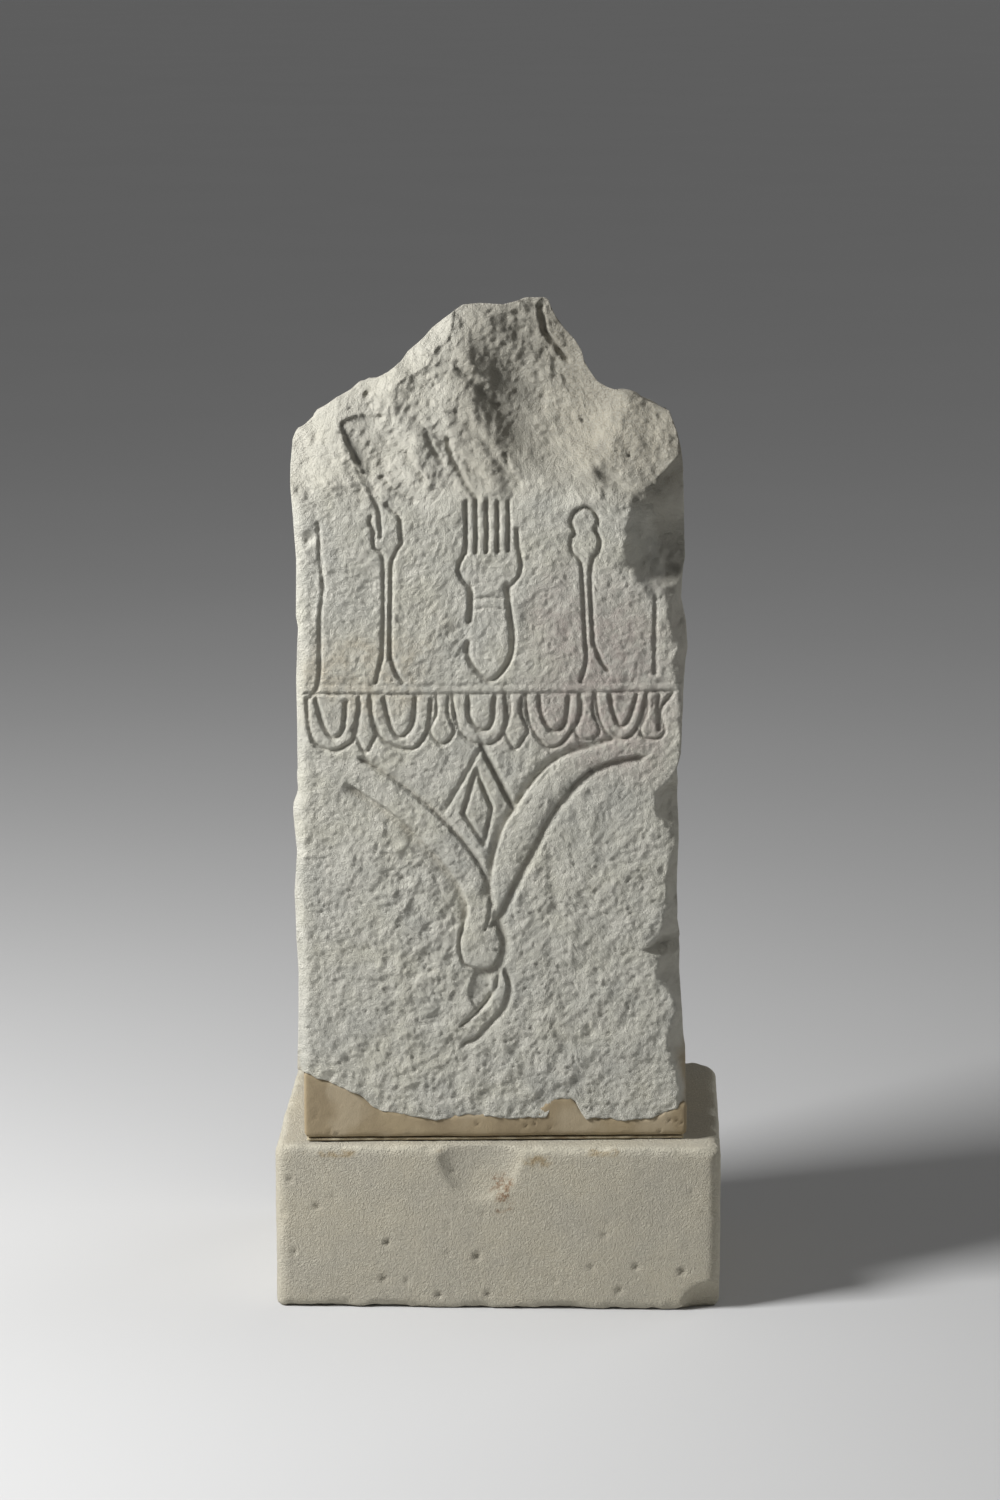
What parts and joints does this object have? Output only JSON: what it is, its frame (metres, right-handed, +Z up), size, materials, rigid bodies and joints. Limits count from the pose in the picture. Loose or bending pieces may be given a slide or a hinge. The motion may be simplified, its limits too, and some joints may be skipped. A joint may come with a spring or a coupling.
{
  "type": "votive stele",
  "caption": "Carved limestone votive stele with a broken gable, set on a plaster foot and a rectangular stone socle; it stands free on a flat base",
  "frame": {"origin": "middle of the socle's underside", "axes": "+Z up; +X to the right of the carved face, along the socle's long side; the socle's front looks along -Y; the stele stands turned 3.2 degrees about +Z on the socle"},
  "size_m": [0.184, 0.132, 0.415],
  "materials": {
    "limestone": "pale grey-beige limestone, smooth where carved, pitted and fractured elsewhere",
    "plaster": "smooth brown-beige plaster, matt, a few pinholes",
    "mortar": "pale sandy lime mortar, matt",
    "socle_stone": "even sandy grain, sawn, matt, with small pits",
    "dowel_metal": "drawn rod, dull"
  },
  "bodies": {
    "root": {"stele": "limestone", "plaster_foot": "plaster", "mortar_bed": "mortar", "socle": "socle_stone", "dowel_left": "dowel_metal", "dowel_right": "dowel_metal"}
  },
  "joints": []
}
